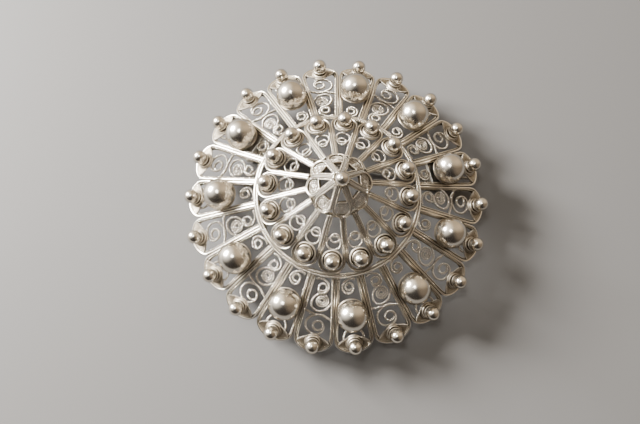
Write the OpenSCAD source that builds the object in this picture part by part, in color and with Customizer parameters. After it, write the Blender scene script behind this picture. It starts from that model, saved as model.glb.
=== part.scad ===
// Filigree brooch: a low cone of open wire cells in three tiers, topped with balls,
// with a hinged pin and a roll-over safety catch behind it.
// Millimetres. +Z is the front, +Y is the top as worn, and the origin is the middle
// of the base, level with the lowest point of the catch.

/* [Outer tier] */
// Number of cells that carry a dome, with as many scroll cells between them
dome_cells = 11; // [9:1:11]
// Distance from the axis to the rounded end of an outer cell
outer_end_r = 22.45; // [21.8:0.05:22.8]
// Distance from the axis to the notch between two outer cells
outer_notch_r = 21.15; // [20.6:0.05:21.3]
// Distance from the axis to the inner end of an outer cell
outer_start_r = 11.3; // [11.2:0.05:11.5]
// Height of the outer tier's surface at its rounded end
outer_edge_z = 3.5; // [3.2:0.1:3.8]
// Slope of the outer tier
outer_tilt = 27.6; // [26:0.2:29]
// Height of the strip that an outer cell is bent from
outer_strip_h = 0.9; // [0.7:0.05:1]
// Thickness of an outer cell's wall, with the twisted wire that lines it
outer_wall = 0.6; // [0.5:0.05:0.65]

/* [Inner tier] */
// Number of petals in the inner tier
inner_petals = 16; // [14:1:16]
// Direction of the first inner petal
inner_phase = 94.26; // [90:0.01:112]
// Distance from the axis to the arched end of an inner petal
inner_end_r = 11.6; // [11.4:0.05:11.7]
// Distance from the axis to the inner end of an inner petal
inner_start_r = 4.7; // [4.7:0.05:4.9]
// Height of the inner tier's surface at its arched end
inner_edge_z = 10.4; // [10.4:0.05:10.8]
// Slope of the inner tier
inner_tilt = 30; // [29:0.5:31]
// Height of the strip that an inner petal is bent from
inner_strip_h = 0.8; // [0.6:0.05:0.8]
// Thickness of an inner petal's wall
inner_wall = 0.4; // [0.3:0.05:0.45]

/* [Crown] */
// Number of petals in the crown
crown_petals = 8; // [7:1:8]
// Direction of the first crown petal
crown_phase = 15.5; // [0:0.5:45]
// Distance from the axis to the arched end of a crown petal
crown_end_r = 4.6; // [4.5:0.05:4.6]
// Height of the crown's surface at its arched end
crown_edge_z = 14.36; // [14.36:0.02:14.5]
// Slope of the crown
crown_tilt = 44.5; // [43:0.5:45]
// Height of the strip that a crown petal is bent from
crown_strip_h = 0.6; // [0.4:0.05:0.6]
// Thickness of a crown petal's wall
crown_wall = 0.25; // [0.2:0.05:0.3]

/* [Balls and domes] */
// Diameter of a dome
dome_d = 4.6; // [4.3:0.05:4.7]
// Distance from the axis to the middle of a dome
dome_ring_r = 17.14; // [16.9:0.02:17.4]
// Height of the middle of a dome
dome_z = 7.63; // [7.5:0.01:7.8]
// Diameter of a rim ball
rim_ball_d = 2.05; // [1.9:0.05:2.2]
// Distance from the axis to the middle of a rim ball
rim_ball_ring_r = 21.5; // [21.3:0.05:21.6]
// Height of the middle of a rim ball
rim_ball_z = 5.7; // [5.6:0.05:5.9]
// Diameter of a ball of the inner tier
inner_ball_d = 2.2; // [2:0.05:2.3]
// Diameter of the ball on top
top_ball_d = 2; // [1.9:0.05:2.1]
// Height of the middle of the top ball
top_ball_z = 18.96; // [18.9:0.02:19.1]

/* [Filigree wire] */
// Diameter of the scroll wire in the outer cells
outer_wire_d = 0.26; // [0.2:0.02:0.28]
// Diameter of the scroll wire in the inner petals
inner_wire_d = 0.22; // [0.18:0.02:0.24]
// Diameter of a coil disc in a scroll cell
coil_d = 2; // [1.8:0.05:2]

/* [Pin and catch] */
// Diameter of the pin stem
stem_d = 0.9; // [0.8:0.05:0.9]
// Length of the stem's sharpened point
point_len = 4.4; // [4.3:0.1:5]
// Diameter of the stem's thicker root, next to the knuckle
root_d = 1.3; // [1.25:0.05:1.4]
// Length of that root, from the hinge's axis
root_len = 1.75; // [1.5:0.05:1.8]
// Outer radius of the catch housing
catch_outer_r = 1.4; // [1.3:0.05:1.5]
// Bore radius of the catch housing
catch_bore_r = 1; // [1:0.02:1.04]
// Radial clearance of the collar in its housing
collar_clearance = 0.06; // [0.04:0.01:0.08]
// Bore radius of the collar
collar_bore_r = 0.62; // [0.6:0.01:0.64]
// Reach of the collar's thumb lever from the pin's axis
lever_reach = 2.2; // [1.8:0.1:2.4]
// Radius of the hinge rivet
rivet_r = 0.36; // [0.32:0.01:0.38]
// Radial clearance of the rivet in the pin's knuckle
knuckle_clearance = 0.06; // [0.04:0.01:0.08]

/* [Hidden] */
$fn = 48;

// A space that parts two pieces which are soldered together or touch.
solder_gap = 0.02;

// Cells of the outer tier: cell 0 carries a dome, and every other one after it.
outer_cells = 2 * dome_cells;
outer_pitch = 360 / outer_cells;
first_cell_az = 90;

// A petal is laid out flat on its slope, with x running down from the apex of the cone.
function half_angle(pitch, tilt) = atan(tan(pitch / 2) * cos(tilt));
function apex_z(edge_z, end_r, tilt) = edge_z + end_r * tan(tilt);

// Foot on the slope, and height above it, of a point at radius r and height z.
function foot_x(r, z, apex, tilt) = r * cos(tilt) + (apex - z) * sin(tilt);
function rise_of(r, z, apex, tilt) = (z - apex + r * tan(tilt)) * cos(tilt);

// Outer tier
outer_half = half_angle(outer_pitch, outer_tilt);
outer_apex = apex_z(outer_edge_z, outer_end_r, outer_tilt);
outer_end_x = outer_end_r / cos(outer_tilt);
outer_start_x = outer_start_r / cos(outer_tilt);
outer_gap = 0.07;
notch_half_w = outer_notch_r * sin(outer_pitch / 2);
notch_sag = outer_end_x - outer_notch_r * cos(outer_pitch / 2) / cos(outer_tilt);
outer_arc_r = (notch_half_w * notch_half_w + notch_sag * notch_sag) / (2 * notch_sag);
outer_inset = outer_gap + outer_wall;

// Inner tier
inner_pitch = 360 / inner_petals;
inner_half = half_angle(inner_pitch, inner_tilt);
inner_apex = apex_z(inner_edge_z, inner_end_r, inner_tilt);
inner_end_x = inner_end_r / cos(inner_tilt);
inner_start_x = inner_start_r / cos(inner_tilt);
inner_arc_x = inner_end_x / (1 + sin(inner_half));
inner_arc_r = inner_end_x - inner_arc_x;
inner_gap = 0.09;

// Crown
crown_pitch = 360 / crown_petals;
crown_half = half_angle(crown_pitch, crown_tilt);
crown_apex = apex_z(crown_edge_z, crown_end_r, crown_tilt);
crown_end_x = crown_end_r / cos(crown_tilt);
crown_arc_x = crown_end_x / (1 + sin(crown_half));
crown_arc_r = crown_end_x - crown_arc_x;
crown_gap = 0.18;
crown_hole_r = 0.9;

// Domes and balls: the distance from the slope to the middle, and the flat they stand on
dome_x = foot_x(dome_ring_r, dome_z, outer_apex, outer_tilt);
dome_rise = rise_of(dome_ring_r, dome_z, outer_apex, outer_tilt);
dome_shell = 0.25;
rim_ball_x = foot_x(rim_ball_ring_r, rim_ball_z, outer_apex, outer_tilt);
rim_ball_rise = rise_of(rim_ball_ring_r, rim_ball_z, outer_apex, outer_tilt);
ball_flat = 0.86;
// The top ball is soldered on a little off the axis.
top_ball_shift = [0.25, -0.3];
inner_ball_x = inner_arc_x - 0.35;
inner_ball_rise = 1.15;

// End plates of the outer cells: a lens between the cell's end and an arc of its own
plate_t = 0.3;
plate_drop = 0.1;
plate_arc_r = 3.2;
plate_arc_x = 25.8;
seat_r = 0.62;

// Cups under the inner balls
cup_r = 1.39;
cup_t = 0.4;

// Ring between the tiers
ring_in_r = 11.25;
ring_out_r = 11.95;
ring_t_in = 0.23;
ring_t_out = 0.4;
ring_lift = 0.09;

// Ring under the crown
crown_ring_r = 3.98;
crown_ring_z = 13.72;
crown_ring_wire_r = 0.28;

// Coil discs
coil_x = 17.15;
coil_side = 0.3;
coil_t = 0.35;
coil_drop = 0.2;
crown_coil_r = 0.97;
crown_coil_t = 0.3;

// Pin, hinge and catch: both stand on plates under the second dome on either side of the top
fitting_r = 16;
fitting_az = first_cell_az - 4 * outer_pitch;
fitting_x = fitting_r * cos(fitting_az);
pin_y = fitting_r * sin(fitting_az);
housing_slot_w = 1.3;
// The pin's height, with the slotted housing's lowest edges at zero.
pin_z = sqrt(pow(catch_outer_r, 2) - pow(housing_slot_w / 2, 2));
plate_len = 4;
plate_w = 4.6;
back_plate_t = 0.5;
post_r = 1.5;
post_foot_z = 3.4;
base_t = 0.5;
hinge_base_x = 3;
ear_r = 1;
ear_t = 0.6;
ear_in_y = 0.85;
rivet_head_r = 0.62;
rivet_head_t = 0.3;
rivet_seat_gap = 0.01;
knuckle_r = 0.85;
knuckle_w = 1.6;
stem_end_x = 17.2;
housing_len = 2.4;
housing_block_w = 1.7;
collar_r = catch_bore_r - collar_clearance;
collar_slot_w = 1.2;
collar_play = 0.08;
flange_r = 1.22;
flange_t = 0.25;
lever_t = 0.6;
lever_w = 0.7;
tail_len = 0.8;

// Filigree arcs: [along the slope, sideways, radius, first angle, sweep]
SCROLLS = [
    [20.9, 0, 1.5, -150, 320],
    [21, 0.3, 0.62, 20, 330],
    [17.35, 0.25, 1.4, -110, 150],
    [15, -0.2, 0.62, 60, 320]
];
DOME_SCROLLS = [
    [23.6, 0, 1.55, 130, 100],
    [15.1, 0, 0.75, 100, 330]
];
INNER_SCROLLS = [
    [8.65, 0, 0.85, 60, 300],
    [8.6, 0.05, 0.42, -120, 330],
];

function two(n) = n < 10 ? str("0", n) : str(n);
DOME_NODES = [for (i = [1:dome_cells]) str("dome_cell_", two(i))];
SCROLL_NODES = [for (i = [1:dome_cells]) str("scroll_cell_", two(i))];
PETAL_NODES = [for (i = [1:inner_petals]) str("inner_petal_", two(i))];

// Places its children on a cone's slope, x along the slope and y sideways.
module on_slope(az, apex, tilt) {
    rotate([0, 0, az])
        translate([0, 0, apex])
            rotate([0, tilt, 0])
                children();
}

module on_outer(az) {
    on_slope(az, outer_apex, outer_tilt) children();
}

module on_inner(az) {
    on_slope(az, inner_apex, inner_tilt) children();
}

module on_crown(az) {
    on_slope(az, crown_apex, crown_tilt) children();
}

// Outline of a petal, moved in by inset, from x = start to its rounded end.
module petal_outline(half, start, arc_x, arc_r, inset) {
    tip = max(start, inset / sin(half));
    far = arc_x + arc_r;
    tip_w = tip * tan(half) - inset / cos(half);
    far_w = far * tan(half) - inset / cos(half);
    intersection() {
        polygon([[tip, -tip_w], [far, -far_w], [far, far_w], [tip, tip_w]]);
        union() {
            translate([arc_x, 0]) circle(arc_r - inset);
            translate([tip, -arc_r]) square([arc_x - tip, 2 * arc_r]);
        }
    }
}

// A strip bent into a petal: its walls, open at the inner end unless they meet there.
module petal_frame(half, start, arc_x, arc_r, gap, wall, height) {
    translate([0, 0, -height])
        linear_extrude(height)
            difference() {
                petal_outline(half, start, arc_x, arc_r, gap);
                petal_outline(half, start - 1, arc_x, arc_r, gap + wall);
            }
}

module outer_outline(inset, start = outer_start_x) {
    petal_outline(outer_half, start, outer_end_x - outer_arc_r, outer_arc_r, inset);
}

// Frame of outer cell k, counted clockwise from the top.
module outer_cell(k) {
    on_outer(first_cell_az - k * outer_pitch)
        petal_frame(outer_half, outer_start_x, outer_end_x - outer_arc_r, outer_arc_r,
            outer_gap, outer_wall, outer_strip_h);
}

module dome_cell(i) {
    color("Silver") outer_cell(2 * i);
}

module scroll_cell(i) {
    color("Gainsboro") outer_cell(2 * i + 1);
}

module inner_petal(i) {
    color("LightGray")
        on_inner(inner_phase - i * inner_pitch)
            petal_frame(inner_half, inner_start_x, inner_arc_x, inner_arc_r,
                inner_gap, inner_wall, inner_strip_h);
}

// A ball with a small flat under it, standing along z on the origin's side of the slope.
module seated_ball(d, flat) {
    difference() {
        sphere(d = d);
        translate([-d, -d, -d - flat]) cube([2 * d, 2 * d, d]);
    }
}

// Hollow domes on the walls of the dome cells.
module domes() {
    color("WhiteSmoke")
        for (i = [0:dome_cells - 1])
            on_outer(first_cell_az - 2 * i * outer_pitch)
                translate([dome_x, 0, dome_rise])
                    difference() {
                        sphere(d = dome_d);
                        sphere(d = dome_d - 2 * dome_shell);
                        translate([-dome_d, -dome_d, -dome_rise - dome_d])
                            cube([2 * dome_d, 2 * dome_d, dome_d]);
                    }
}

module rim_balls() {
    color("WhiteSmoke")
        for (k = [0:outer_cells - 1])
            on_outer(first_cell_az - k * outer_pitch)
                translate([rim_ball_x, 0, rim_ball_rise]) seated_ball(rim_ball_d, ball_flat);
}

// End plate of each outer cell, with the seat that its ball is soldered to.
module rim_seats() {
    color("DarkGray")
        for (k = [0:outer_cells - 1])
            on_outer(first_cell_az - k * outer_pitch) {
                translate([0, 0, -plate_drop - plate_t])
                    linear_extrude(plate_t)
                        intersection() {
                            outer_outline(outer_inset + solder_gap);
                            translate([plate_arc_x, 0]) circle(plate_arc_r);
                        }
                translate([rim_ball_x, 0, -plate_drop - plate_t / 2])
                    cylinder(r = seat_r, h = rim_ball_rise - ball_flat + plate_drop + plate_t / 2);
            }
}

// Open rings of round wire lying just under the slope.
module wire_arcs(arcs, wire_d) {
    for (a = arcs)
        translate([a[0], a[1], -wire_d / 2 - plate_drop])
            rotate([0, 0, a[3]])
                rotate_extrude(angle = a[4])
                    translate([a[2], 0]) circle(d = wire_d);
}

module outer_scrolls() {
    color("Gray")
        for (i = [0:dome_cells - 1])
            on_outer(first_cell_az - (2 * i + 1) * outer_pitch) wire_arcs(SCROLLS, outer_wire_d);
}

module dome_cell_scrolls() {
    color("Gray")
        for (i = [0:dome_cells - 1])
            on_outer(first_cell_az - 2 * i * outer_pitch) wire_arcs(DOME_SCROLLS, outer_wire_d);
}

module coil_discs() {
    color("DimGray")
        for (i = [0:dome_cells - 1])
            on_outer(first_cell_az - (2 * i + 1) * outer_pitch)
                translate([coil_x, coil_side, -coil_drop - coil_t]) cylinder(d = coil_d, h = coil_t);
}

// Band that lies on the inner ends of the outer cells and carries the inner tier.
module tier_ring() {
    in_z = outer_apex - ring_in_r * tan(outer_tilt) + ring_lift;
    out_z = outer_apex - ring_out_r * tan(outer_tilt) + ring_lift;
    color("Silver")
        rotate_extrude()
            polygon([
                [ring_in_r, in_z],
                [ring_out_r, out_z],
                [ring_out_r, out_z + ring_t_out],
                [ring_in_r, in_z + ring_t_in]
            ]);
}

module inner_cups() {
    color("DarkGray")
        for (i = [0:inner_petals - 1])
            on_inner(inner_phase - i * inner_pitch)
                translate([inner_ball_x, 0, inner_ball_rise - ball_flat - cup_t])
                    cylinder(r = cup_r, h = cup_t);
}

module inner_balls() {
    color("WhiteSmoke")
        for (i = [0:inner_petals - 1])
            on_inner(inner_phase - i * inner_pitch)
                translate([inner_ball_x, 0, inner_ball_rise]) seated_ball(inner_ball_d, ball_flat);
}

module inner_scrolls() {
    color("Gray")
        for (i = [0:inner_petals - 1])
            on_inner(inner_phase - i * inner_pitch) wire_arcs(INNER_SCROLLS, inner_wire_d);
}

// Wire ring that joins the crown to the inner ends of the inner petals.
module crown_ring() {
    color("Gray")
        translate([0, 0, crown_ring_z])
            rotate_extrude()
                translate([crown_ring_r, 0]) circle(crown_ring_wire_r);
}

module crown_frames() {
    color("Silver")
        difference() {
            for (i = [0:crown_petals - 1])
                on_crown(crown_phase + i * crown_pitch)
                    petal_frame(crown_half, crown_hole_r, crown_arc_x, crown_arc_r,
                        crown_gap, crown_wall, crown_strip_h);
            cylinder(r = crown_hole_r, h = crown_apex);
        }
}

module crown_coils() {
    color("DimGray")
        for (i = [0:crown_petals - 1])
            on_crown(crown_phase + i * crown_pitch)
                translate([crown_arc_x, 0, -coil_drop - crown_coil_t])
                    cylinder(r = crown_coil_r, h = crown_coil_t);
}

// Plug in the middle of the crown, under the top ball.
module top_seat() {
    foot_z = crown_apex - 2 * crown_hole_r;
    color("DarkGray")
        translate([0, 0, foot_z])
            cylinder(r = crown_hole_r - solder_gap, h = top_ball_z - ball_flat - foot_z);
}

module top_ball() {
    color("WhiteSmoke")
        translate([top_ball_shift.x, top_ball_shift.y, top_ball_z])
            seated_ball(top_ball_d, ball_flat);
}

// Plate soldered under a dome cell, with the post that a fitting stands on.
module back_plate(az) {
    under = outer_strip_h + solder_gap;
    difference() {
        union() {
            on_outer(az)
                translate([dome_x - plate_len / 2, -plate_w / 2, -under - back_plate_t])
                    cube([plate_len, plate_w, back_plate_t]);
            rotate([0, 0, az])
                translate([fitting_r, 0, post_foot_z])
                    cylinder(r = post_r, h = outer_apex - post_foot_z);
        }
        on_outer(az)
            translate([0, -outer_apex, -under]) cube([2 * outer_apex, 2 * outer_apex, outer_apex]);
    }
}

module hinge_plate() {
    color("LightSteelBlue") back_plate(180 - fitting_az);
}

module catch_plate() {
    color("LightSteelBlue") back_plate(fitting_az);
}

// Moves its children to the pin's axis at the given x.
module at_pin(x) {
    translate([x, pin_y, pin_z]) children();
}

// A cylinder along Y, centred on the origin.
module across(r, w) {
    rotate([90, 0, 0]) cylinder(r = r, h = w, center = true);
}

// Clevis that holds the pin's knuckle between two ears.
module hinge_bracket() {
    top = post_foot_z - solder_gap - pin_z;
    color("SlateGray")
        at_pin(-fitting_x)
            difference() {
                union() {
                    translate([-hinge_base_x / 2, -ear_in_y - ear_t, top - base_t])
                        cube([hinge_base_x, 2 * (ear_in_y + ear_t), base_t]);
                    for (side = [-1, 1])
                        translate([0, side * (ear_in_y + ear_t / 2), 0]) {
                            across(ear_r, ear_t);
                            translate([-ear_r, -ear_t / 2, 0]) cube([2 * ear_r, ear_t, top - base_t / 2]);
                        }
                }
                across(rivet_r + rivet_seat_gap, 4 * ear_in_y);
            }
}

module hinge_rivet() {
    head_y = ear_in_y + ear_t + rivet_seat_gap + rivet_head_t / 2;
    color("Goldenrod")
        at_pin(-fitting_x) {
            across(rivet_r, 2 * head_y);
            for (side = [-1, 1])
                translate([0, side * head_y, 0]) across(rivet_head_r, rivet_head_t);
        }
}

// A rod along X from x = 0, on the pin's axis.
module rod(r, len) {
    rotate([0, 90, 0]) cylinder(r = r, h = len);
}

// Pin: knuckle, root, stem and sharpened point in one.
module pin_stem() {
    stem_x = -fitting_x + root_len;
    point_x = stem_end_x - point_len;
    color("LightSlateGray")
        difference() {
            union() {
                at_pin(-fitting_x) across(knuckle_r, knuckle_w);
                at_pin(-fitting_x) rod(root_d / 2, root_len);
                at_pin(stem_x) rod(stem_d / 2, point_x - stem_x);
                at_pin(point_x)
                    rotate([0, 90, 0]) cylinder(d1 = stem_d, d2 = stem_d / 6, h = point_len);
            }
            at_pin(-fitting_x) across(rivet_r + knuckle_clearance, 2 * knuckle_w);
        }
}

// Housing of the catch: a C-shaped tube, open towards the back, under a block.
module catch_housing() {
    top = post_foot_z - solder_gap - pin_z;
    color("SlateGray")
        at_pin(fitting_x - housing_len / 2)
            difference() {
                union() {
                    rod(catch_outer_r, housing_len);
                    translate([0, -housing_block_w / 2, 0]) cube([housing_len, housing_block_w, top]);
                }
                translate([-1, 0, 0]) rod(catch_bore_r, housing_len + 2);
                translate([-1, -housing_slot_w / 2, -2 * catch_outer_r])
                    cube([housing_len + 2, housing_slot_w, 2 * catch_outer_r]);
            }
}

// Collar that turns in the housing: a slotted tube with a flange at each side and a lever.
module catch_collar() {
    front = housing_len + collar_play;
    len = front + flange_t + tail_len;
    color("DarkKhaki")
        at_pin(fitting_x - housing_len / 2)
            difference() {
                union() {
                    translate([-collar_play - flange_t, 0, 0]) rod(flange_r, flange_t);
                    translate([-collar_play - flange_t, 0, 0]) rod(collar_r, len + collar_play + flange_t);
                    translate([front, 0, 0]) rod(flange_r, flange_t);
                    translate([front, -lever_reach, -lever_w / 2]) cube([lever_t, lever_reach, lever_w]);
                    translate([front, -lever_reach, 0]) rod(lever_w / 2, lever_t);
                }
                translate([-1, 0, 0]) rod(collar_bore_r, len + 2);
                translate([-1, -collar_slot_w / 2, -2 * flange_r])
                    cube([len + 2, collar_slot_w, 2 * flange_r]);
            }
}

for (i = [0:dome_cells - 1]) {
    dome_cell(i);
    scroll_cell(i);
}
for (i = [0:inner_petals - 1])
    inner_petal(i);
domes();
rim_balls();
rim_seats();
outer_scrolls();
dome_cell_scrolls();
coil_discs();
tier_ring();
inner_cups();
inner_balls();
inner_scrolls();
crown_ring();
crown_frames();
crown_coils();
top_seat();
top_ball();
hinge_plate();
catch_plate();
hinge_bracket();
hinge_rivet();
pin_stem();
catch_housing();
catch_collar();
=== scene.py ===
"""Filigree brooch: cells of strip and twisted wire in three tiers, balls and domes, and a pin behind.

Sizes are in millimetres until a mesh is made. Every cell is laid out flat on its tier's slope, with x
running down the slope from the cone's apex, y sideways and z out of the slope.
"""

import math

import bmesh
import bpy
import numpy as np
from mathutils import Matrix, Vector


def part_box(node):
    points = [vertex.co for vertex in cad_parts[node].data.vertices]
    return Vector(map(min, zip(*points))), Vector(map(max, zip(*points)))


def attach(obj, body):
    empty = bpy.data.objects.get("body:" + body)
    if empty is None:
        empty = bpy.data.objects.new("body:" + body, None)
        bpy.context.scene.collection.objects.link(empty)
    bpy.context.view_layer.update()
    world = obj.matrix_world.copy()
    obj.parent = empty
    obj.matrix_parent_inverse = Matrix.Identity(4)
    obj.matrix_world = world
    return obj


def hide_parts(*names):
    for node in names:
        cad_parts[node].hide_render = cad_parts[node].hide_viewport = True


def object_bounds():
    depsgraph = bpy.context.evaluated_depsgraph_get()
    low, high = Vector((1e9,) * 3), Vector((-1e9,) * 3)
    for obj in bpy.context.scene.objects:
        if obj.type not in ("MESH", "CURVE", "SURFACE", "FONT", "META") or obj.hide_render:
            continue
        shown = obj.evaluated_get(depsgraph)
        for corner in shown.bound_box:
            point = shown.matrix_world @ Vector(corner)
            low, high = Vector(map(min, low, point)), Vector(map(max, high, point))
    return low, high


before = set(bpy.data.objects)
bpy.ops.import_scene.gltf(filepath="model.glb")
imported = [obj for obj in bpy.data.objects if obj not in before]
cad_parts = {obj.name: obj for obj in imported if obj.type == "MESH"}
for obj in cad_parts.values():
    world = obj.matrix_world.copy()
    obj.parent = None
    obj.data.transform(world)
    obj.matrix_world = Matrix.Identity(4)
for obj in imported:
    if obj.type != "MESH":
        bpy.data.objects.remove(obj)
cad_low, cad_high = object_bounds()

MM = 0.001
BODY = "brooch"
TURN = 2 * math.pi

# --- Tiers: the slopes that the cells lie on, with the heights taken from the frame -----------------


class Tier:
    """A ring of equal cells on one cone, whose tops meet the cone's surface. Angles are in degrees."""

    def __init__(self, node, count, phase, tilt, start_r):
        self.count = count
        self.phase = math.radians(phase)
        self.pitch = TURN / count
        self.tilt = math.radians(tilt)
        self.half = math.atan(math.tan(self.pitch / 2) * math.cos(self.tilt))
        self.start_x = start_r / math.cos(self.tilt)
        self.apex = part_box(node)[1].z / MM + start_r * math.tan(self.tilt)

    def matrix(self, k):
        """Places cell k, counted clockwise, from the flat layout."""
        turn = Matrix.Rotation(self.phase - k * self.pitch, 4, "Z")
        lift = Matrix.Translation((0, 0, self.apex))
        return np.array(turn @ lift @ Matrix.Rotation(self.tilt, 4, "Y"))

    def foot(self, r, z):
        """Distance down the slope, and out of it, of a point at radius r and height z."""
        c, s = math.cos(self.tilt), math.sin(self.tilt)
        return r * c + (self.apex - z) * s, (z - self.apex) * c + r * s

    def wall(self, x, inset):
        """Half the clear width at x, that far in from the cell's edge."""
        return x * math.tan(self.half) - inset / math.cos(self.half)


DOME_CELLS = 11
outer = Tier("dome_cell_01", count=2 * DOME_CELLS, phase=90, tilt=27.6, start_r=11.3)
inner = Tier("inner_petal_01", count=16, phase=94.26, tilt=30, start_r=4.3)
crown = Tier("crown_frames", count=8, phase=15.5, tilt=44.5, start_r=0.9)

# The rim is scalloped: a cell's end is an arc that meets its neighbours' arcs at the notches.
outer_end_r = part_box("dome_cell_01")[1].y / MM
OUTER_NOTCH_R = 21.15
outer_end_x = outer_end_r / math.cos(outer.tilt)
notch_x = OUTER_NOTCH_R * math.cos(outer.pitch / 2) / math.cos(outer.tilt)
notch_y = OUTER_NOTCH_R * math.sin(outer.pitch / 2)
outer_sag = outer_end_x - notch_x
outer_arc_r = (notch_y**2 + outer_sag**2) / (2 * outer_sag)
outer_arc_x = outer_end_x - outer_arc_r


def tangent_arc(tier, end_r):
    """Middle and radius of the arch that closes a petal and touches both its walls."""
    end_x = end_r / math.cos(tier.tilt)
    x = end_x / (1 + math.sin(tier.half))
    return x, end_x - x


INNER_END_R = 11.6
CROWN_END_R = 4.6
inner_arc_x, inner_arc_r = tangent_arc(inner, INNER_END_R)
crown_arc_x, crown_arc_r = tangent_arc(crown, CROWN_END_R)

# --- Growing a mesh ---------------------------------------------------------------------------------


class Builder:
    """Collects closed surfaces, with a value at each point for worn brightness and painted shade, and makes
    one mesh of them.
    """

    def __init__(self):
        self.points, self.wear, self.quads, self.tris = [], [], [], []
        self.size = 0

    def add(self, points, quads, tris, wear, matrix=None):
        """Adds one closed surface, with its faces turned over if they look inwards."""
        points = np.asarray(points, float)
        if matrix is not None:
            points = points @ matrix[:3, :3].T + matrix[:3, 3]
        quads = np.asarray(quads, int).reshape(-1, 4)
        tris = np.asarray(tris, int).reshape(-1, 3)
        all_tris = np.concatenate([quads[:, [0, 1, 2]], quads[:, [0, 2, 3]], tris])
        a, b, c = (points[all_tris[:, i]] - points[0] for i in range(3))
        if np.einsum("ij,ij->i", a, np.cross(b, c)).sum() < 0:
            quads, tris = quads[:, ::-1], tris[:, ::-1]
        self.points.append(points)
        self.wear.append(np.broadcast_to(wear, len(points)))
        self.quads.append(quads + self.size)
        self.tris.append(tris + self.size)
        self.size += len(points)

    def make(self, name, material, slot, nodes):
        """Makes the finished piece, which stands for the CAD nodes."""
        points = np.concatenate(self.points) * MM
        quads, tris = np.concatenate(self.quads), np.concatenate(self.tris)
        mesh = bpy.data.meshes.new(name)
        mesh.vertices.add(len(points))
        mesh.vertices.foreach_set("co", points.ravel())
        mesh.loops.add(quads.size + tris.size)
        mesh.loops.foreach_set("vertex_index", np.concatenate([quads.ravel(), tris.ravel()]))
        mesh.polygons.add(len(quads) + len(tris))
        starts = np.concatenate([np.arange(len(quads)) * 4, quads.size + np.arange(len(tris)) * 3])
        mesh.polygons.foreach_set("loop_start", starts)
        mesh.update(calc_edges=True)
        mesh.validate()
        mesh.attributes.new("wear", "FLOAT", "POINT").data.foreach_set("value", np.concatenate(self.wear))
        mesh.shade_smooth()
        mesh.materials.append(material)
        piece = bpy.data.objects.new(name, mesh)
        bpy.context.scene.collection.objects.link(piece)
        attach(piece, BODY)
        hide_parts(*nodes)


def ring_quads(rings, sides, closed):
    """Quads between rings of points laid one after another."""
    last = rings if closed else rings - 1
    i, j = np.meshgrid(np.arange(last), np.arange(sides), indexing="ij")
    next_i, next_j = (i + 1) % rings, (j + 1) % sides
    corners = [i * sides + j, next_i * sides + j, next_i * sides + next_j, i * sides + next_j]
    return np.stack(corners, -1).reshape(-1, 4)


def end_fans(rings, sides):
    """Triangles that close a tube's two ends, on a middle point each, added after the rings."""
    j = np.arange(sides)
    next_j = (j + 1) % sides
    first, last = rings * sides, rings * sides + 1
    base = (rings - 1) * sides
    start = np.stack([np.full(sides, first), j, next_j], -1)
    end = np.stack([np.full(sides, last), base + next_j, base + j], -1)
    return np.concatenate([start, end])


def resample(path, step, closed=False):
    """The path with points at an even step, and its length up to each."""
    path = np.asarray(path, float)
    if closed:
        path = np.vstack([path, path[:1]])
    along = np.concatenate([[0], np.cumsum(np.linalg.norm(np.diff(path, axis=0), axis=1))])
    count = max(3, round(along[-1] / step) + 1)
    at = np.linspace(0, along[-1], count)[: -1 if closed else None]
    return np.stack([np.interp(at, along, path[:, i]) for i in range(path.shape[1])], 1), at


def sideways(path, closed):
    """Unit vectors to the left of a flat path."""
    ahead = np.roll(path, -1, 0) - np.roll(path, 1, 0)
    if not closed:
        ahead[0], ahead[-1] = path[1] - path[0], path[-1] - path[-2]
    ahead /= np.linalg.norm(ahead, axis=1)[:, None]
    return np.stack([-ahead[:, 1], ahead[:, 0]], 1)


def sweep(build, path, profile, z, wear, matrix=None, closed=False, step=0.2):
    """Runs a profile of (sideways, up) points along a flat path at height z."""
    path, _ = resample(path, step, closed)
    side = sideways(path, closed)
    sides = len(profile)
    flat = path[:, None, :] + side[:, None, :] * profile[None, :, :1]
    up = np.broadcast_to(z + profile[:, 1], flat.shape[:2])
    points = np.concatenate([flat, up[..., None]], -1).reshape(-1, 3)
    shade = np.tile(wear, len(path))
    tris = []
    if not closed:
        ends = np.array([[*path[0], z], [*path[-1], z]])
        points = np.vstack([points, ends])
        shade = np.append(shade, [wear.mean()] * 2)
        tris = end_fans(len(path), sides)
    build.add(points, ring_quads(len(path), sides, closed), tris, shade, matrix)


def twist(build, path, z, strand_r, pitch, tall=1.0, matrix=None, closed=False, steps=6, sides=6):
    """Two strands twisted together along a flat path; tall stretches them out of the plane."""
    path, at = resample(path, pitch / steps, closed)
    side = sideways(path, closed)
    if closed:
        length = at[-1] + at[1]
        pitch = length / round(length / pitch)
    ring = np.linspace(0, TURN, sides, endpoint=False)
    for strand in (0, math.pi):
        angle = TURN * at / pitch + strand
        out = strand_r * (np.cos(angle)[:, None] + np.cos(ring))
        up = strand_r * tall * (np.sin(angle)[:, None] + np.sin(ring))
        flat = path[:, None, :] + side[:, None, :] * out[..., None]
        points = np.concatenate([flat, (z + up)[..., None]], -1).reshape(-1, 3)
        shade = np.clip(np.hypot(out, up / tall) / (2 * strand_r), 0, 1).ravel() ** 1.5
        shade *= 0.75 + 0.25 * np.clip(up / (2 * strand_r * tall), -1, 1).ravel()
        tris = []
        if not closed:
            ends = [[*path[i], z] for i in (0, -1)]
            points = np.vstack([points, ends])
            shade = np.append(shade, [0.4, 0.4])
            tris = end_fans(len(path), sides)
        build.add(points, ring_quads(len(path), sides, closed), tris, shade, matrix)


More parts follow.
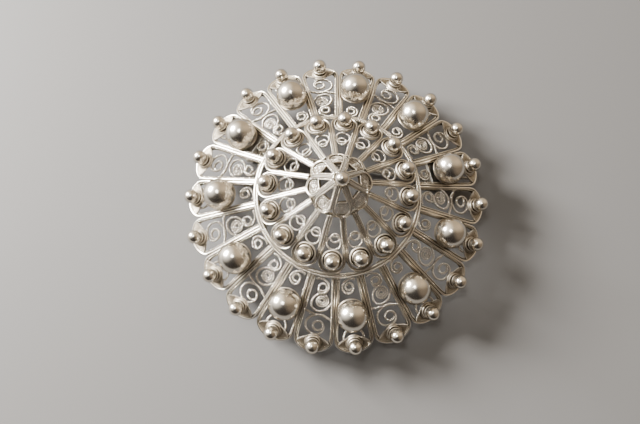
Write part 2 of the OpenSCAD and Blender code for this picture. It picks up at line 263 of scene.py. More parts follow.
def turned(build, outline, at, matrix, wear, around=40, squeeze=0.0, seed=0):
    """A turned solid: an outline of (radius, height) points round an upright through the place at.

    squeeze narrows it by up to twice that share across one way, and seed picks which way.
    """
    outline = np.asarray(outline, float)
    angle = np.linspace(0, TURN, around, endpoint=False)
    rng = np.random.default_rng(seed)
    lobe = 1 + squeeze * (np.sin(2 * angle + rng.uniform(0, TURN)) - 1)
    x = at[0] + outline[:, None, 0] * np.cos(angle) * lobe
    y = at[1] + outline[:, None, 0] * np.sin(angle) * lobe
    z = at[2] + np.broadcast_to(outline[:, None, 1], x.shape)
    points = np.stack([x, y, z], -1).reshape(-1, 3)
    points = np.vstack([points, [*at[:2], at[2] + outline[0, 1]], [*at[:2], at[2] + outline[-1, 1]]])
    shade = np.append(np.repeat(wear, around), [wear[0], wear[-1]])
    quads = ring_quads(len(outline), around, False)
    build.add(points, quads, end_fans(len(outline), around), shade, matrix)


def torus(build, r, wire_r, at, matrix=None, around=96, sides=10, wear=0.8):
    """A ring of plain round wire."""
    path = circle(at, r, around)
    step = TURN * r / around
    sweep(build, path, round_profile(wire_r, sides), at[2], round_wear(sides) * wear, matrix, True, step)


# --- Profiles and paths -----------------------------------------------------------------------------


def round_profile(r, sides=10):
    """The section of a round wire."""
    angle = np.linspace(0, TURN, sides, endpoint=False)
    return np.stack([r * np.cos(angle), r * np.sin(angle)], 1)


def round_wear(sides=10):
    """Worn bright along the top of a wire, darker underneath."""
    angle = np.linspace(0, TURN, sides, endpoint=False)
    return 0.65 + 0.35 * np.sin(angle)


CORNER_POINTS = 4


def strip_profile(width, height, corner):
    """A flat strip on edge with rounded corners, its top at zero."""
    points = []
    for cx, cy, start in ((1, 0, 0), (-1, 0, 90), (-1, -1, 180), (1, -1, 270)):
        for a in np.radians(np.linspace(start, start + 90, CORNER_POINTS)):
            x = cx * (width / 2 - corner) + corner * math.cos(a)
            y = (-corner if cy == 0 else corner - height) + corner * math.sin(a)
            points.append((x, y))
    return np.array(points)


def strip_wear(profile):
    """Worn bright on the top edge, dark on the sides."""
    depth = -profile[:, 1] / -profile[:, 1].min()
    return np.interp(depth, [0, 0.06, 0.2, 0.4, 0.9, 1], [1, 0.85, 0.25, 0.2, 0.3, 0.75])


def circle(middle, r, count):
    """Points round a circle, without the first one again."""
    angle = np.linspace(0, TURN, count, endpoint=False)
    return np.stack([middle[0] + r * np.cos(angle), middle[1] + r * np.sin(angle)], 1)


def petal_path(tier, arc_x, arc_r, inset, start, wobble=None, rounding=6):
    """Down one wall of a petal, round its end and back, that far in from its edge.

    rounding is how many times the corners are smoothed, and wobble is a wave's height and phase.
    """
    r = arc_r - inset
    slope = math.tan(tier.half)
    offset = inset / math.cos(tier.half)
    # The wall's line meets the arc at the larger root of a x^2 + b x + c = 0.
    a, b, c = 1 + slope**2, -2 * (arc_x + slope * offset), arc_x**2 + offset**2 - r**2
    corner_x = (-b + math.sqrt(max(b * b - 4 * a * c, 0))) / (2 * a)
    corner_y = tier.wall(corner_x, inset)
    angle = math.atan2(corner_y, corner_x - arc_x)
    tip = max(start, inset / math.sin(tier.half))
    arc = [(arc_x + r * math.cos(t), r * math.sin(t)) for t in np.linspace(angle, -angle, 24)]
    path = np.array([(tip, tier.wall(tip, inset)), *arc, (tip, -tier.wall(tip, inset))])
    path, at = resample(path, 0.15)
    for _ in range(rounding):
        path[1:-1] = (path[:-2] + 2 * path[1:-1] + path[2:]) / 4
    if wobble is not None:
        path[:, 1] += wobble[0] * np.sin(at * 0.55 + wobble[1]) * np.sin(np.pi * at / at[-1])
    return path


def ease(t):
    """0 to 1, slow at both ends."""
    t = np.clip(t, 0, 1)
    return t * t * (3 - 2 * t)


def scroll(middle, end_middle, radii, start, turn, closing, lead=0.12):
    """A wire that leaves a wall, opens into a loop, then curls into a smaller one. Angles in degrees.

    radii are those at the wall, of the loop and of the curl. lead and closing are fractions of the wire's
    turn: it has left the wall by lead, and goes from loop to curl between the two in closing.
    """
    r_wall, r_open, r_end = radii
    t = np.linspace(0, 1, 120)
    close = ease((t - closing[0]) / (closing[1] - closing[0]))
    r = r_open + (r_wall - r_open) * (1 - ease(t / lead)) + (r_end - r_open) * close
    angle = np.radians(start + turn * t)
    x = middle[0] + (end_middle[0] - middle[0]) * close + r * np.cos(angle)
    y = middle[1] + (end_middle[1] - middle[1]) * close + r * np.sin(angle)
    return np.stack([x, y], 1)


def coil(middle, r_out, gap, start, way):
    """A tight flat spiral from its rim inwards; way is 1 or -1."""
    r_in = gap * 0.6
    turns = (r_out - r_in) / gap
    t = np.linspace(0, 1, int(40 * turns))
    angle = math.radians(start) + way * TURN * turns * t
    r = r_out - (r_out - r_in) * t
    return np.stack([middle[0] + r * np.cos(angle), middle[1] + r * np.sin(angle)], 1)


def bow(middle_x, r, half_sweep):
    """An arc that bulges towards the apex."""
    t = np.radians(np.linspace(180 - half_sweep, 180 + half_sweep, 24))
    return np.stack([middle_x + r * np.cos(t), r * np.sin(t)], 1)


# --- Materials --------------------------------------------------------------------------------------

# Noise cells per metre: blotches of about 2.4 mm, and a grain of about 0.2 mm.
PATCH_SCALE = 420
GRAIN_SCALE = 5200


def ramp(nodes, stops):
    """A colour ramp with a (place, colour) pair for each stop."""
    node = nodes.new("ShaderNodeValToRGB")
    elements = node.color_ramp.elements
    while len(elements) < len(stops):
        elements.new(0.5)
    for element, (at, colour) in zip(elements, stops):
        element.position = at
        element.color = (*colour, 1)
    return node


def silver(name, bright, middle, dark, polish, tarnish=0.25, grain=0.15, crevice=1.0, reach=0.9, edge=0.8):
    """Aged silver: bright where it is worn, darker where a piece is given painted shade, brown-black in the
    recesses, with a fine worn grain.

    polish is the roughness of the brightest, most worn metal, crevice how much a recess darkens within
    reach (mm), and edge the brightness of a glancing reflection.
    """
    mat = bpy.data.materials.new(name)
    mat.use_nodes = True
    nodes, links = mat.node_tree.nodes, mat.node_tree.links
    shader = nodes["Principled BSDF"]
    shader.inputs["Metallic"].default_value = 1.0
    shader.inputs["Specular Tint"].default_value = (edge, edge * 0.95, edge * 0.88, 1)

    where = nodes.new("ShaderNodeTexCoord")
    wear = nodes.new("ShaderNodeAttribute")
    wear.attribute_name = "wear"
    hollow = nodes.new("ShaderNodeAmbientOcclusion")
    hollow.samples = 8
    hollow.inputs["Distance"].default_value = reach * MM
    patches = nodes.new("ShaderNodeTexNoise")
    patches.inputs["Scale"].default_value = PATCH_SCALE
    patches.inputs["Detail"].default_value = 5
    fine = nodes.new("ShaderNodeTexNoise")
    fine.inputs["Scale"].default_value = GRAIN_SCALE
    fine.inputs["Detail"].default_value = 3
    for noise in (patches, fine):
        links.new(where.outputs["Object"], noise.inputs["Vector"])

    def math_node(kind, a, b):
        node = nodes.new("ShaderNodeMath")
        node.operation = kind
        for socket, value in zip(node.inputs, (a, b)):
            if isinstance(value, float):
                socket.default_value = value
            else:
                links.new(value, socket)
        return node.outputs[0]

    open_air = math_node("POWER", hollow.outputs["AO"], crevice)
    # The per-point values bring both worn brightness and painted shade; with the patina of the recesses
    # they set the colour and the roughness.
    rubbed_and_shaded = math_node("MULTIPLY", wear.outputs["Fac"], open_air)
    blotch = math_node("MULTIPLY", math_node("SUBTRACT", patches.outputs["Fac"], 0.5), tarnish * 2)
    speck = math_node("MULTIPLY", math_node("SUBTRACT", fine.outputs["Fac"], 0.5), tarnish)
    level = math_node("ADD", math_node("ADD", rubbed_and_shaded, blotch), speck)

    colour = ramp(nodes, [(0.10, dark), (0.45, middle), (0.76, bright)])
    links.new(level, colour.inputs["Fac"])
    links.new(colour.outputs["Color"], shader.inputs["Base Color"])
    gloss = nodes.new("ShaderNodeMapRange")
    gloss.inputs["From Min"].default_value = 0.05
    gloss.inputs["From Max"].default_value = 0.85
    gloss.inputs["To Min"].default_value = min(polish + 0.35, 0.75)
    gloss.inputs["To Max"].default_value = polish
    links.new(level, gloss.inputs["Value"])
    links.new(gloss.outputs["Result"], shader.inputs["Roughness"])
    bump = nodes.new("ShaderNodeBump")
    bump.inputs["Strength"].default_value = grain
    bump.inputs["Distance"].default_value = 0.03 * MM
    links.new(fine.outputs["Fac"], bump.inputs["Height"])
    links.new(bump.outputs["Normal"], shader.inputs["Normal"])
    return mat


DARK = (0.028, 0.021, 0.015)
BALL_DARK = (0.07, 0.055, 0.045)
STEEL_DARK = (0.1, 0.09, 0.08)
strip_silver = silver("strip_silver", (0.97, 0.92, 0.82), (0.54, 0.46, 0.34), DARK, 0.22, crevice=1.7)
wire_silver = silver("wire_silver", (1.0, 0.96, 0.88), (0.72, 0.64, 0.52), DARK, 0.19,
                     tarnish=0.2, crevice=1.1)
ball_silver = silver("ball_silver", (0.84, 0.78, 0.68), (0.55, 0.48, 0.38), BALL_DARK, 0.22,
                     tarnish=0.16, grain=0.06, reach=1.4, edge=0.35)
seat_silver = silver("seat_silver", (0.86, 0.79, 0.69), (0.44, 0.38, 0.29), DARK, 0.36,
                     tarnish=0.3, crevice=1.4)
fitting_silver = silver("fitting_silver", (0.86, 0.82, 0.74), (0.50, 0.45, 0.37), DARK, 0.30, grain=0.25)
pin_steel = silver("pin_steel", (0.88, 0.87, 0.84), (0.60, 0.58, 0.54), STEEL_DARK, 0.20, tarnish=0.1)

# --- Cells of the outer tier ------------------------------------------------------------------------

SOLDER = 0.03
LINING_TALL = 1.15
OUTER_STRIP_W = 0.34
OUTER_STRIP = strip_profile(OUTER_STRIP_W, 0.88, 0.15)
OUTER_STRIP_WEAR = strip_wear(OUTER_STRIP)
OUTER_STRAND = 0.065
OUTER_TWIST = 0.42
OUTER_ROUNDING = 40
OUTER_LINING_Z = (-0.17, -0.66)
outer_strip_in = SOLDER + OUTER_STRIP_W / 2
outer_lining_in = SOLDER + OUTER_STRIP_W + 1.8 * OUTER_STRAND


def outer_cell(k, name):
    """A cell of bent strip, with two twisted wires along the inside of its wall."""
    build = Builder()
    rng = np.random.default_rng(100 + k)
    wobble = (rng.uniform(-0.035, 0.035), rng.uniform(0, TURN))
    place = outer.matrix(k)

    def wall_path(inset):
        return petal_path(outer, outer_arc_x, outer_arc_r, inset, outer.start_x, wobble, OUTER_ROUNDING)

    sweep(build, wall_path(outer_strip_in), OUTER_STRIP, 0, OUTER_STRIP_WEAR, place)
    lining = wall_path(outer_lining_in)
    for z in OUTER_LINING_Z:
        twist(build, lining, z, OUTER_STRAND, OUTER_TWIST, LINING_TALL, place)
    build.make(name + "_frame", strip_silver, "silver_strip", [name])


for i in range(DOME_CELLS):
    outer_cell(2 * i, f"dome_cell_{i + 1:02d}")
    outer_cell(2 * i + 1, f"scroll_cell_{i + 1:02d}")

# --- Scrollwork of the outer tier -------------------------------------------------------------------

SCROLL_STRAND = 0.095
SCROLL_TWIST = 0.42
WIRE_TALL = 1.25
SCROLL_Z = -0.30
COIL_GAP = 0.29
COIL_STRAND = 0.067
COIL_TWIST = 0.46
COIL_Z = -0.24
COIL_X, COIL_Y, COIL_R = 17.15, 0.3, 0.98


def vary(k, salt, size):
    """A small offset that is the same each time, for work done by hand."""
    return np.random.default_rng(1000 * salt + k).uniform(-size, size, 2)


def divider(x, lean):
    """An S-shaped wire from wall to wall of an outer cell."""
    u = np.linspace(-1, 1, 30)
    along = x + lean * np.sin(u * math.pi / 2) - 0.22 * np.sin(u * math.pi)
    return np.stack([along, u * (outer.wall(x, outer_lining_in) + 0.05)], 1)


def scroll_paths(k):
    """A scroll by the rim, a divider, the loop round the coil, and a curl by the ring between the tiers."""
    dx, dy = vary(k, 1, 0.1)
    rim_radii = (1.9, 1.48, 0.72)
    curl_end = (15.15 + dx, 0.12 + dy)
    loop_radii = (1.75, 1.42, COIL_R + 0.13)
    return [
        scroll((20.95 + dx, -0.05 + dy), (21.0, 0.3), rim_radii, start=128, turn=660, closing=(0.38, 0.52)),
        divider(19.35 + dx, 0.55),
        scroll((17.35, 0.0), (COIL_X, COIL_Y), loop_radii, start=100, turn=-290, closing=(0.4, 0.9)),
        scroll((15.0, -0.05), curl_end, (1.35, 1.0, 0.56), start=-140, turn=-620, closing=(0.32, 0.5)),
    ]


def dome_paths(k):
    """A bow between the dome and the rim, and a curl on the dome's other side."""
    dx, dy = vary(k, 2, 0.1)
    curl_end = (14.95 + dx, dy)
    return [
        bow(22.8, r=1.45, half_sweep=96),
        scroll((14.95, 0.05), curl_end, (1.35, 1.0, 0.54), start=140, turn=620, closing=(0.32, 0.5)),
    ]


def lay_wires(build, paths, place):
    """Lays each path as a twisted wire in a cell."""
    for path in paths:
        twist(build, path, SCROLL_Z, SCROLL_STRAND, SCROLL_TWIST, WIRE_TALL, place)


scrolls, dome_scrolls, coils = Builder(), Builder(), Builder()
for i in range(DOME_CELLS):
    dome_cell, scroll_cell = 2 * i, 2 * i + 1
    lay_wires(dome_scrolls, dome_paths(dome_cell), outer.matrix(dome_cell))
    lay_wires(scrolls, scroll_paths(scroll_cell), outer.matrix(scroll_cell))
    spiral = coil((COIL_X, COIL_Y), COIL_R, COIL_GAP, start=-178, way=-1)
    twist(coils, spiral, COIL_Z, COIL_STRAND, COIL_TWIST, WIRE_TALL, outer.matrix(scroll_cell))
scrolls.make("scrollwork", wire_silver, "silver_wire", ["outer_scrolls"])
dome_scrolls.make("dome_cell_curls", wire_silver, "silver_wire", ["dome_cell_scrolls"])
coils.make("coils", wire_silver, "silver_wire", ["coil_discs"])

# --- End plates, rim balls and domes ----------------------------------------------------------------

PLATE_T = 0.16
PLATE_EDGE, PLATE_DISH, PLATE_DROP = 0.08, 0.10, 0.06
PLATE_TIPS = 1.4
PLATE_ARC_R, PLATE_ARC_X = 3.2, 25.8
plate_in = SOLDER + 0.3
RIM_RING_R, RIM_BALL_Z = 21.5, 5.7
RIM_R = 2.05 / 2
rim_x, rim_rise = outer.foot(RIM_RING_R, RIM_BALL_Z)
DOME_RING_R, DOME_Z = 17.14, 7.63
DOME_SHELL = 0.25
DOME_FOOT_R, DOME_FOOT_WIRE = 2.02, 0.1
DOME_R = 4.6 / 2
dome_x, dome_rise = outer.foot(DOME_RING_R, DOME_Z)


def end_plate(build, matrix):
    """A lens-shaped plate, dished, with a raised edge towards the apex.

    Its outer edge follows the cell's end, and it is a grid of points above and below, closed at the rim.
    """
    end_r = outer_arc_r - plate_in
    rows, cols = 9, 25
    half_w = outer.wall(outer_arc_x + PLATE_TIPS, plate_in)
    top, bottom = [], []
    for j in np.linspace(-1, 1, cols):
        y = j * half_w
        x_out = outer_arc_x + math.sqrt(end_r**2 - y * y)
        x_in = min(PLATE_ARC_X - math.sqrt(PLATE_ARC_R**2 - y * y), x_out - 0.02)
        for i in np.linspace(0, 1, rows):
            x = x_in + (x_out - x_in) * i
            hollow = PLATE_DISH * math.sin(math.pi * i) * (1 - j * j)
            z = PLATE_EDGE * (1 - ease(i * 3.2)) - hollow - PLATE_DROP
            top.append((x, y, z))
            bottom.append((x, y, z - PLATE_T))
    points = np.array(top + bottom)
    n = rows * cols
    quads = []
    for a in range(cols - 1):
        for b in range(rows - 1):
            p = a * rows + b
            quads.append((p, p + 1, p + rows + 1, p + rows))
            quads.append((n + p, n + p + rows, n + p + rows + 1, n + p + 1))
    rim = [a * rows for a in range(cols)] + [(cols - 1) * rows + b for b in range(1, rows)]
    rim += [a * rows + rows - 1 for a in range(cols - 2, -1, -1)] + list(range(rows - 2, 0, -1))
    for a, b in zip(rim, rim[1:] + rim[:1]):
        quads.append((a, b, n + b, n + a))
    # Brighter the higher a point lies: the raised edge is worn bright, and the lower dish and underside are
    # darker as painted shade.
    wear = np.interp(points[:, 2], [-0.2, -0.12, -0.05, 0.02], [0.3, 0.42, 0.6, 1])
    build.add(points, quads, [], wear, matrix)


def arc_outline(r, low, high, count):
    """Points of a ball's outline between two heights, from the top down."""
    h = np.linspace(math.asin(high / r), math.asin(low / r), count)
    return np.stack([r * np.cos(h), r * np.sin(h)], 1)


POLE_R = 0.01


def ball(build, r, at, matrix, seed):
    """A soldered ball, very slightly out of round, with a flat foot."""
    outline = arc_outline(r, -0.82 * r, 0.9995 * r, 22)
    outline[0, 0] = POLE_R
    # Darker towards the foot: painted shade, standing in for a dark reflection from below.
    wear = np.interp(outline[:, 1] / r, [-0.85, -0.4, 0.3], [0.35, 0.85, 1])
    turned(build, outline, at, matrix, wear, around=36, squeeze=0.012, seed=seed)


# A stepped collar under a rim ball: a lip round the ball, a waist, a ring and a flange on the plate.
RIM_COLLAR = np.array([
    (0.02, 0.86), (0.72, 0.86), (0.79, 1.02), (0.87, 1.04), (0.93, 0.95), (0.90, 0.80), (0.83, 0.74),
    (0.83, 0.54), (0.95, 0.50), (1.05, 0.42), (1.06, 0.30), (1.18, 0.27), (1.27, 0.18), (1.25, 0.06),
    (0.02, 0.00),
])
# The lip, ring and flange are worn bright; the top by the ball, under the lip and the waist are darker as
# painted shade.
RIM_COLLAR_WEAR_AND_SHADE = np.array([0.1, 0.2, 0.7, 1, 0.9, 0.35, 0.15, 0.12, 0.5, 0.9, 0.3, 0.5, 0.9, 0.4, 0.3])
RIM_COLLAR_Z = -0.2


def dome(build, place, seed):
    """A hollow dome, open underneath, with a ring of wire round its foot."""
    foot = 0.03 - dome_rise
    lining_r = DOME_R - DOME_SHELL
    shell = arc_outline(DOME_R, foot, 0.9998 * DOME_R, 30)
    shell[0, 0] = POLE_R
    lining = arc_outline(lining_r, foot, 0.9998 * lining_r, 16)[::-1]
    lining[-1, 0] = POLE_R
    # The shell is darker towards its foot: painted shade, standing in for a dark reflection from below.
    shell_wear = np.interp(shell[:, 1] / DOME_R, [-0.5, -0.2, 0.4], [0.5, 0.85, 1])
    wear = np.concatenate([shell_wear, np.full(len(lining), 0.25)])
    outline = np.vstack([shell, lining])
    turned(build, outline, (dome_x, 0, dome_rise), place, wear, around=64, squeeze=0.008, seed=seed)
    torus(build, DOME_FOOT_R, DOME_FOOT_WIRE, (dome_x, 0, 0.08), place, around=56, sides=8, wear=0.7)


seats, rim_balls, domes = Builder(), Builder(), Builder()
for k in range(outer.count):
    place = outer.matrix(k)
    end_plate(seats, place)
    edge = bow(PLATE_ARC_X, PLATE_ARC_R + 0.05, half_sweep=44)
    twist(seats, edge, z=0.04, strand_r=0.07, pitch=0.36, matrix=place)
    turned(seats, RIM_COLLAR, (rim_x, 0, RIM_COLLAR_Z), place, RIM_COLLAR_WEAR_AND_SHADE, around=36)
    ball(rim_balls, RIM_R, (rim_x, 0, rim_rise), place, k)
for i in range(DOME_CELLS):
    dome(domes, outer.matrix(2 * i), 50 + i)
seats.make("rim_plates_and_collars", seat_silver, "silver_seat", ["rim_seats"])
rim_balls.make("rim_ball_set", ball_silver, "silver_ball", ["rim_balls"])
domes.make("dome_set", ball_silver, "silver_ball", ["domes"])

# --- Ring between the tiers -------------------------------------------------------------------------

BAND_IN, BAND_OUT = 11.25, 11.95
BAND_WIRE_R = 0.16
BAND_TOP, BAND_FLOOR = 0.28, 0.1
# Each wire's radius, and its height over the outer tier's cone.
BAND_WIRES = ((11.80, 0.25), (11.42, 0.28))
band = Builder()
slope = math.tan(outer.tilt)
for r, lift in BAND_WIRES:
    torus(band, r, BAND_WIRE_R, (0, 0, outer.apex - r * slope + lift), around=200, wear=0.95)
middle_r = (BAND_IN + BAND_OUT) / 2
half_w = (BAND_OUT - BAND_IN) / 2 - 0.02
band_z = outer.apex - middle_r * slope
across = np.array([(-half_w, -half_w * slope), (half_w, half_w * slope)])
band_profile = np.vstack([across + (0, BAND_TOP), across[::-1] + (0, BAND_FLOOR)])
band_wear = np.array([0.8, 0.8, 0.4, 0.4])
middle_circle = circle((0, 0), middle_r, 240)
sweep(band, middle_circle, band_profile, band_z, band_wear, closed=True, step=0.35)
twist(band, middle_circle, z=band_z + 0.36, strand_r=0.055, pitch=0.4, closed=True)
band.make("tier_band", strip_silver, "silver_strip", ["tier_ring"])

# --- Inner tier -------------------------------------------------------------------------------------

INNER_STRIP_W = 0.24
INNER_STRIP = strip_profile(INNER_STRIP_W, 0.78, 0.11)
INNER_STRIP_WEAR = strip_wear(INNER_STRIP)
INNER_STRAND = 0.05
INNER_TWIST = 0.36
INNER_LINING_Z = -0.14
INNER_SCROLL_STRAND = 0.078
INNER_SCROLL_Z = -0.26
INNER_FROM = 4.85
inner_strip_in = SOLDER + INNER_STRIP_W / 2
inner_lining_in = SOLDER + INNER_STRIP_W + 1.8 * INNER_STRAND
inner_ball_x, inner_ball_rise, inner_ball_r = inner_arc_x - 0.35, 1.15, 1.1


def inner_petal(k):
    """A petal of bent strip, with one twisted wire along the inside of its wall."""
    build = Builder()
    rng = np.random.default_rng(300 + k)
    wobble = (rng.uniform(-0.03, 0.03), rng.uniform(0, TURN))
    place = inner.matrix(k)
    path = petal_path(inner, inner_arc_x, inner_arc_r, inner_strip_in, INNER_FROM, wobble)
    sweep(build, path, INNER_STRIP, 0, INNER_STRIP_WEAR, place)
    path = petal_path(inner, inner_arc_x, inner_arc_r, inner_lining_in, INNER_FROM, wobble)
    twist(build, path, INNER_LINING_Z, INNER_STRAND, INNER_TWIST, LINING_TALL, place)
    name = f"inner_petal_{k + 1:02d}"
    build.make(name + "_frame", strip_silver, "silver_strip", [name])


def inner_path(k):
    """A loop that curls in towards the crown."""
    dx, dy = vary(k, 3, 0.07)
    radii = (1.15, 0.97, 0.6)
    curl_end = (8.0 + 2 * dy, 0.1)
    return scroll((8.78 + dx, 0), curl_end, radii, start=120, turn=700, closing=(0.43, 0.53), lead=0.08)


# A stepped cup: a collar that holds the ball, and a lower flange out to the petal's wall.
CUP = np.array([
    (0.02, 0.30), (0.80, 0.32), (0.86, 0.56), (0.97, 0.62), (1.07, 0.54), (1.12, 0.38), (1.22, 0.34),
    (1.40, 0.36), (1.45, 0.25), (1.36, 0.10), (0.90, 0.00), (0.02, 0.00),
])
# The collar's top and the flange's edge are worn bright; the floor round the ball's foot and the step below
# the collar are darker as painted shade.
CUP_WEAR_AND_SHADE = np.array([0.2, 0.3, 0.6, 1.0, 0.8, 0.35, 0.45, 0.8, 0.6, 0.4, 0.4, 0.4])
CUP_RIM_R = 1.34
cup_z = inner_ball_rise - 1.26


def cup(build, place):
    """The cup, with a twisted wire round its flange."""
    turned(build, CUP, (inner_ball_x, 0, cup_z), place, CUP_WEAR_AND_SHADE, around=40)
    rim = circle((inner_ball_x, 0), CUP_RIM_R, 60)
    twist(build, rim, z=cup_z + 0.42, strand_r=0.06, pitch=0.34, matrix=place, closed=True)


inner_wires, cups, inner_balls = Builder(), Builder(), Builder()
for k in range(inner.count):
    inner_petal(k)
    place = inner.matrix(k)
    twist(inner_wires, inner_path(k), INNER_SCROLL_Z, INNER_SCROLL_STRAND, INNER_TWIST, WIRE_TALL, place)
    cup(cups, place)
    ball(inner_balls, inner_ball_r, (inner_ball_x, 0, inner_ball_rise), place, 70 + k)
inner_wires.make("inner_scrollwork", wire_silver, "silver_wire", ["inner_scrolls"])
cups.make("ball_cups", seat_silver, "silver_seat", ["inner_cups"])
inner_balls.make("inner_ball_set", ball_silver, "silver_ball", ["inner_balls"])

# --- Crown ------------------------------------------------------------------------------------------

CROWN_STRIP = strip_profile(0.22, 0.58, 0.10)
CROWN_STRIP_WEAR = strip_wear(CROWN_STRIP)
WINDOW_STRIP = strip_profile(0.16, 0.5, 0.07)
WINDOW_STRIP_WEAR = strip_wear(WINDOW_STRIP)
CROWN_FROM = 1.25
CROWN_STRIP_IN, CROWN_LINING_IN, WINDOW_IN = 0.13, 0.34, 0.42
CROWN_COIL_GAP = 0.25
CROWN_COIL_Z = -0.24
crown_coil_r = crown_arc_r - 0.45


def crown_window():
    """A closed triangle of strip between a crown petal's legs, above its coil."""
    far_x = crown_arc_x - crown_coil_r - 0.05
    far_y = crown.wall(far_x, WINDOW_IN)
    tip_x = WINDOW_IN / math.sin(crown.half) + 0.15
    path, _ = resample([(tip_x, 0), (far_x, far_y), (far_x, -far_y)], 0.1, True)
    for _ in range(3):
        path = (np.roll(path, 1, 0) + 2 * path + np.roll(path, -1, 0)) / 4
    return path


crown_bands, crown_coils = Builder(), Builder()
for k in range(crown.count):
    place = crown.matrix(-k)
    path = petal_path(crown, crown_arc_x, crown_arc_r, CROWN_STRIP_IN, CROWN_FROM)
    sweep(crown_bands, path, CROWN_STRIP, 0.0, CROWN_STRIP_WEAR, place, step=0.12)
    path = petal_path(crown, crown_arc_x, crown_arc_r, CROWN_LINING_IN, CROWN_FROM)
    twist(crown_bands, path, z=-0.08, strand_r=0.052, pitch=0.3, tall=1.2, matrix=place)
    sweep(crown_bands, crown_window(), WINDOW_STRIP, -0.01, WINDOW_STRIP_WEAR, place, closed=True, step=0.1)
    spiral = coil((crown_arc_x, 0), crown_coil_r, CROWN_COIL_GAP, start=20, way=1)
    twist(crown_coils, spiral, CROWN_COIL_Z, strand_r=0.056, pitch=0.4, tall=WIRE_TALL, matrix=place)
    torus(crown_coils, r=0.16, wire_r=0.09, at=(crown_arc_x, 0, -0.2), matrix=place, around=20, sides=6)
crown_bands.make("crown_bands", strip_silver, "silver_strip", ["crown_frames"])
crown_coils.make("crown_coil_set", wire_silver, "silver_wire", ["crown_coils"])

JOINT_RING_R, JOINT_RING_WIRE, JOINT_RING_Z = 3.98, 0.28, 13.72
joint_ring = Builder()
torus(joint_ring, JOINT_RING_R, JOINT_RING_WIRE, (0, 0, JOINT_RING_Z))
joint_ring.make("crown_ring_wire", strip_silver, "silver_strip", ["crown_ring"])

UPRIGHT = np.eye(4)
TOP_COLLAR_R = 0.82
# From the top ball's middle down to the collar's top.
TOP_COLLAR_DOWN = 0.84


def top_collar(build, at, r, height):
    """The stepped collar under the top ball."""
    outline = np.array([
        (0.02, height - 0.06), (r * 0.72, height - 0.04), (r * 0.9, height), (r, height - 0.07),
        (r * 0.97, height - 0.16), (r * 0.84, height - 0.22), (r * 0.84, 0.24), (r * 1.02, 0.18),
        (r * 1.1, 0.1), (r * 1.06, 0.02), (0.02, 0.0),
    ])
    wear = np.interp(outline[:, 1] / height, [0, 0.35, 0.6, 1], [0.6, 0.35, 0.4, 0.9])
    turned(build, outline, at, UPRIGHT, wear, around=28)


# The top ball sits a little off the axis, and its collar halfway between.
plug, top_ball = Builder(), Builder()
top_low, top_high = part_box("top_ball")
top_r = (top_high.x - top_low.x) / 2 / MM
top_at = (top_low + top_high) / 2 / MM
top_at.z = top_high.z / MM - top_r
seat_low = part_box("top_seat")[0].z / MM
collar_height = top_at.z - TOP_COLLAR_DOWN - seat_low
top_collar(plug, (top_at.x / 2, top_at.y / 2, seat_low), TOP_COLLAR_R, collar_height)
ball(top_ball, top_r, top_at, UPRIGHT, 99)
plug.make("top_collar", seat_silver, "silver_seat", ["top_seat"])
top_ball.make("top_ball_piece", ball_silver, "silver_ball", ["top_ball"])

# --- Hinge, pin and catch: the CAD shapes with their edges broken -----------------------------------

FITTING_WEAR = 0.85


def eased_copy(node, material, body, width):
    """A copy of a CAD node's mesh with small bevels on its sharp edges."""
    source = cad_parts[node]
    mesh = source.data.copy()
    grown = bmesh.new()
    grown.from_mesh(mesh)
    bmesh.ops.remove_doubles(grown, verts=grown.verts, dist=0.0005 * MM)
    bmesh.ops.dissolve_limit(grown, angle_limit=math.radians(1), verts=grown.verts, edges=grown.edges)
    grown.to_mesh(mesh)
    grown.free()
    mesh.materials.clear()
    mesh.materials.append(material)
    piece = bpy.data.objects.new(node + "_piece", mesh)
    bpy.context.scene.collection.objects.link(piece)
    bevel = piece.modifiers.new("edges", "BEVEL")
    bevel.width = width * MM
    bevel.segments = 2
    bevel.limit_method = "ANGLE"
    bevel.angle_limit = math.radians(38)
    graph = bpy.context.evaluated_depsgraph_get()
    done = bpy.data.meshes.new_from_object(piece.evaluated_get(graph))
    piece.modifiers.clear()
    piece.data = done
    done.shade_smooth()
    wear = done.attributes.new("wear", "FLOAT", "POINT")
    wear.data.foreach_set("value", np.full(len(done.vertices), FITTING_WEAR))
    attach(piece, body)
    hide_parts(node)


for node in ("hinge_plate", "catch_plate", "hinge_bracket", "hinge_rivet", "catch_housing"):
    eased_copy(node, fitting_silver, BODY, 0.05)
eased_copy("pin_stem", pin_steel, "pin", 0.03)
eased_copy("catch_collar", fitting_silver, "collar", 0.04)

# --- Floor, light and camera ------------------------------------------------------------------------


def make_floor():
    """A plain floor just under the catch, the lowest part."""
    mat = bpy.data.materials.new("floor")
    mat.use_nodes = True
    shader = mat.node_tree.nodes["Principled BSDF"]
    shader.inputs["Base Color"].default_value = (0.125, 0.122, 0.119, 1)
    shader.inputs["Roughness"].default_value = 0.7
    mesh = bpy.data.meshes.new("floor")
    half = 1.5
    corners = [(-half, -half, 0), (half, -half, 0), (half, half, 0), (-half, half, 0)]
    mesh.from_pydata(corners, [], [(0, 1, 2, 3)])
    floor = bpy.data.objects.new("floor", mesh)
    floor.location.z = cad_low.z - 0.02 * MM
    mesh.materials.append(mat)
    bpy.context.scene.collection.objects.link(floor)


LAMP_COLOUR = (1.0, 0.975, 0.94)
LAMP_TARGET = (0, 0, 0.008)


def area_light(name, at, size, power):
    """A lamp in metres and watts, turned towards the middle of the brooch."""
    data = bpy.data.lights.new(name, "AREA")
    data.shape = "RECTANGLE"
    data.size, data.size_y = size
    data.energy = power
    data.color = LAMP_COLOUR
    lamp = bpy.data.objects.new(name, data)
    lamp.location = at
    lamp.rotation_euler = (Vector(LAMP_TARGET) - Vector(at)).to_track_quat("-Z", "Y").to_euler()
    bpy.context.scene.collection.objects.link(lamp)


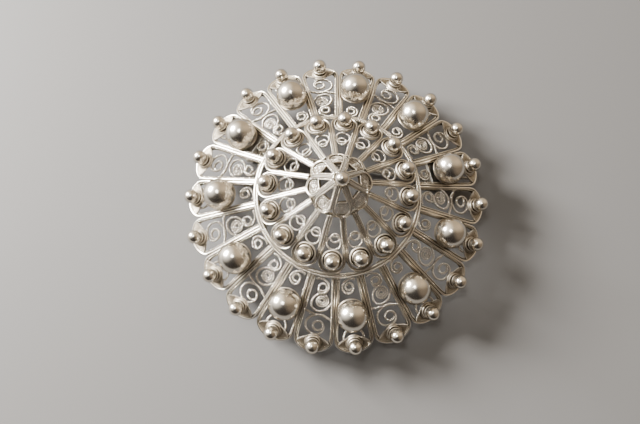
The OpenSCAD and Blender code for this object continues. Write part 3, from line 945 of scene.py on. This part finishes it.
def make_world():
    """A dim room with a soft window to the left and a warm wall beyond the top of the brooch."""
    world = bpy.data.worlds.new("room")
    bpy.context.scene.world = world
    world.use_nodes = True
    nodes, links = world.node_tree.nodes, world.node_tree.links
    where = nodes.new("ShaderNodeTexCoord")
    total = None
    # Each patch of light: its direction, the cosines where it begins and is full, and its colour.
    for direction, edge, full, colour in (
        ((0, 0, 1), -3.0, -2.0, (0.032, 0.027, 0.024)),
        ((-0.80, 0.25, 0.55), 0.50, 0.97, (1.02, 0.97, 0.90)),
        ((0.10, 0.90, 0.42), 0.25, 0.90, (0.60, 0.48, 0.33)),
        ((0.85, 0.10, 0.50), 0.45, 0.95, (0.19, 0.15, 0.11)),
    ):
        dot = nodes.new("ShaderNodeVectorMath")
        dot.operation = "DOT_PRODUCT"
        dot.inputs[1].default_value = Vector(direction).normalized()
        links.new(where.outputs["Generated"], dot.inputs[0])
        lobe = nodes.new("ShaderNodeMapRange")
        lobe.interpolation_type = "SMOOTHSTEP"
        lobe.inputs["From Min"].default_value = edge
        lobe.inputs["From Max"].default_value = full
        links.new(dot.outputs["Value"], lobe.inputs["Value"])
        tint = nodes.new("ShaderNodeVectorMath")
        tint.operation = "SCALE"
        tint.inputs[0].default_value = colour
        links.new(lobe.outputs["Result"], tint.inputs["Scale"])
        if total is None:
            total = tint
            continue
        both = nodes.new("ShaderNodeVectorMath")
        both.operation = "ADD"
        links.new(total.outputs["Vector"], both.inputs[0])
        links.new(tint.outputs["Vector"], both.inputs[1])
        total = both
    links.new(total.outputs["Vector"], nodes["Background"].inputs["Color"])


def make_camera():
    """A camera above the brooch, a little to the near side."""
    data = bpy.data.cameras.new("camera")
    data.lens = 34.61
    data.sensor_width = 36
    data.clip_start = 0.001
    camera = bpy.data.objects.new("camera", data)
    camera.location = (-0.13 * MM, -21.12 * MM, 94.45 * MM)
    camera.rotation_euler = [math.radians(a) for a in (12.086, -0.762, 9.571)]
    bpy.context.scene.collection.objects.link(camera)
    bpy.context.scene.camera = camera


make_floor()
area_light("window", (-0.31, 0.09, 0.18), (0.13, 0.11), 9.6)
area_light("sky", (-0.06, 0.02, 0.30), (0.05, 0.05), 0.30)
make_world()
make_camera()
